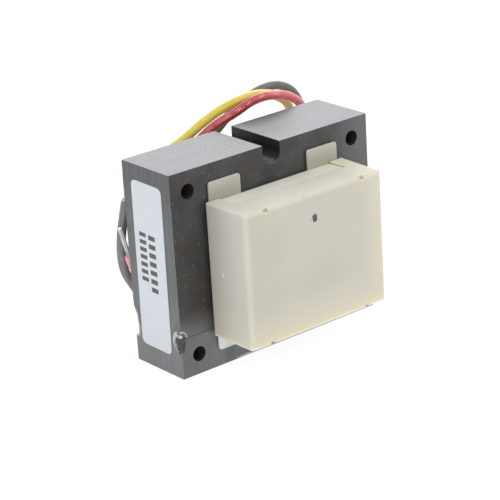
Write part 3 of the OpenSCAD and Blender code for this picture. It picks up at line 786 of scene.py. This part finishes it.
def insulation_finish(name, colour, worn, far, painted_end_light, print_colour, print_side):
    """PVC with a dull bloom on it and a broken line of pale printed dashes along the wire; painted light makes it
    paler at its far right and towards its stripped end.
    """
    finish, tree, shader, place = start_finish(name)
    bloom = graded(tree, cloud(tree, place, 260, 4), 0.4, 0.7)
    x, _, _ = split_axes(tree, place)
    jacket = tinted(tree, bloom, colour, worn)
    # Painted light: paler at the far right, where the leads are lit from behind, and towards their stripped ends at
    # the left.
    jacket = tinted(tree, graded(tree, x, 10 * MM, 30 * MM), jacket, far)
    jacket = tinted(tree, graded(tree, x, -25 * MM, -30 * MM), jacket, painted_end_light)
    along = tree.nodes.new("ShaderNodeSeparateXYZ")
    tree.links.new(tree.nodes["Texture Coordinate"].outputs["UV"], along.inputs[0])
    step = combined(tree, "FRACT", combined(tree, "MULTIPLY", along.outputs[0], dash_count))
    dash = combined(tree, "LESS_THAN", step, dash_share)
    off_band = combined(tree, "ABSOLUTE", combined(tree, "SUBTRACT", along.outputs[1], print_side))
    band = combined(tree, "LESS_THAN", off_band, print_half_width)
    worn_print = graded(tree, cloud(tree, place, 420, 3), 0.42, 0.58)
    legend = combined(tree, "MULTIPLY", combined(tree, "MULTIPLY", dash, band), worn_print)
    legend = combined(tree, "MULTIPLY", legend, graded(tree, x, -1 * MM, 8 * MM, 0.25, 1))
    tree.links.new(tinted(tree, legend, jacket, print_colour), shader.inputs["Base Color"])
    tree.links.new(graded(tree, bloom, 0, 1, 0.34, 0.48), shader.inputs["Roughness"])
    shader.inputs["Subsurface Weight"].default_value = 0.6
    shader.inputs["Subsurface Radius"].default_value = (1, 0.7, 0.4)
    shader.inputs["Subsurface Scale"].default_value = 1.6 * MM
    shader.inputs["Sheen Weight"].default_value = 0.25
    shader.inputs["Sheen Roughness"].default_value = 0.4
    embossed(tree, shader, cloud(tree, place, 800, 3), 0.02 * MM, 0.4)
    return finish


def tinned_finish():
    finish, tree, shader, place = start_finish("tinned_strands")
    dull = graded(tree, cloud(tree, place, 900, 3), 0.35, 0.7)
    tree.links.new(tinted(tree, dull, (0.74, 0.735, 0.72), (0.58, 0.575, 0.56)), shader.inputs["Base Color"])
    shader.inputs["Metallic"].default_value = 0.6
    tree.links.new(graded(tree, dull, 0, 1, 0.4, 0.55), shader.inputs["Roughness"])
    return finish


tinned = tinned_finish()


def stripped_end(node, route, length, flare):
    """Seven tinned strands laid up with a slow twist, in line with the lead's end."""
    tail = Vector(route[-1]) - Vector(route[-2])
    bundle = bmesh.new()
    turns = [k * math.pi / 3 for k in range(6)]
    spots = [(0, 0)] + [(math.cos(turn) * strand_ring, math.sin(turn) * strand_ring) for turn in turns]
    spots = [(flare * x, flare * y) for x, y in spots]
    steps = 16
    twist = Matrix.Rotation(math.radians(4), 3, "Z")
    for x, y in spots:
        ring = bmesh.ops.create_circle(bundle, cap_ends=True, segments=10, radius=strand_radius * flare * MM)["verts"]
        bmesh.ops.translate(bundle, vec=(x * MM, y * MM, 0), verts=ring)
        end = ring[0].link_faces[0]
        for _ in range(steps):
            grown = bmesh.ops.extrude_discrete_faces(bundle, faces=[end])["faces"][0]
            bmesh.ops.translate(bundle, vec=(0, 0, length / steps * MM), verts=grown.verts)
            bmesh.ops.rotate(bundle, cent=(0, 0, 0), matrix=twist, verts=grown.verts)
            end = grown
    bmesh.ops.recalc_face_normals(bundle, faces=bundle.faces)
    bmesh.ops.transform(bundle, matrix=tail.to_track_quat("Z", "X").to_matrix().to_4x4(), verts=bundle.verts)
    bmesh.ops.translate(bundle, vec=Vector(route[-1]) * MM, verts=bundle.verts)
    return add_piece(node + "_bundle", bundle, [tinned], node, smooth=50)


def lead(node, route, finish, strip, flare=1.0):
    line = bpy.data.curves.new(node + "_wire", "CURVE")
    line.dimensions = "3D"
    line.bevel_depth = lead_diameter / 2
    line.bevel_resolution = 6
    line.resolution_u = 8
    line.use_fill_caps = True
    run = line.splines.new("BEZIER")
    run.bezier_points.add(len(route) - 1)
    for knot, point in zip(run.bezier_points, route):
        knot.co = Vector(point) * MM
        knot.handle_left_type = knot.handle_right_type = "AUTO"
    line.materials.append(finish)
    wire = bpy.data.objects.new(node + "_wire", line)
    bpy.context.collection.objects.link(wire)
    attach(wire, "root")
    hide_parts(node)
    bundle = stripped_end(node + "_strands", route, strip, flare)


yellow_pvc = insulation_finish(
    "yellow_pvc", colour=(0.57, 0.465, 0.04), worn=(0.61, 0.5, 0.06), far=(0.88, 0.74, 0.3), painted_end_light=(0.61, 0.5, 0.06),
    print_colour=(0.61, 0.5, 0.06), print_side=0.5,
)
lead("yellow_lead", yellow_route, yellow_pvc, 8)
red_pvc = insulation_finish(
    "red_pvc", colour=(0.34, 0.009, 0.011), worn=(0.38, 0.021, 0.024), far=(0.74, 0.19, 0.215),
    painted_end_light=(0.93, 0.36, 0.41), print_colour=(0.72, 0.36, 0.36), print_side=0.66,
)
lead("red_lead", red_route, red_pvc, 8.6)
black_pvc = insulation_finish(
    "black_pvc", colour=(0.1, 0.1, 0.102), worn=(0.15, 0.15, 0.15), far=(0.125, 0.127, 0.13),
    painted_end_light=(0.205, 0.207, 0.207), print_colour=(0.5, 0.5, 0.49), print_side=0.07,
)
lead("black_lead", black_route, black_pvc, 1.2, 1.8)
lead("second_black_lead", second_black_route, black_pvc, 4)


# Splices: each lead is joined to its winding inside the rear cover, under a short woven sleeve.
def woven_finish():
    finish, tree, shader, place = start_finish("woven_sleeve")
    checks = tree.nodes.new("ShaderNodeTexChecker")
    checks.inputs["Scale"].default_value = 3000
    tree.links.new(place, checks.inputs["Vector"])
    weave = tinted(tree, checks.outputs["Fac"], (0.62, 0.6, 0.52), (0.78, 0.76, 0.68))
    tree.links.new(weave, shader.inputs["Base Color"])
    shader.inputs["Roughness"].default_value = 0.7
    embossed(tree, shader, checks.outputs["Fac"], 0.1 * MM)
    return finish


woven = woven_finish()
for colour in ("yellow", "red", "black", "second_black"):
    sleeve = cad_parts[colour + "_lead_splice"]
    sleeve.data.materials.clear()
    sleeve.data.materials.append(woven)
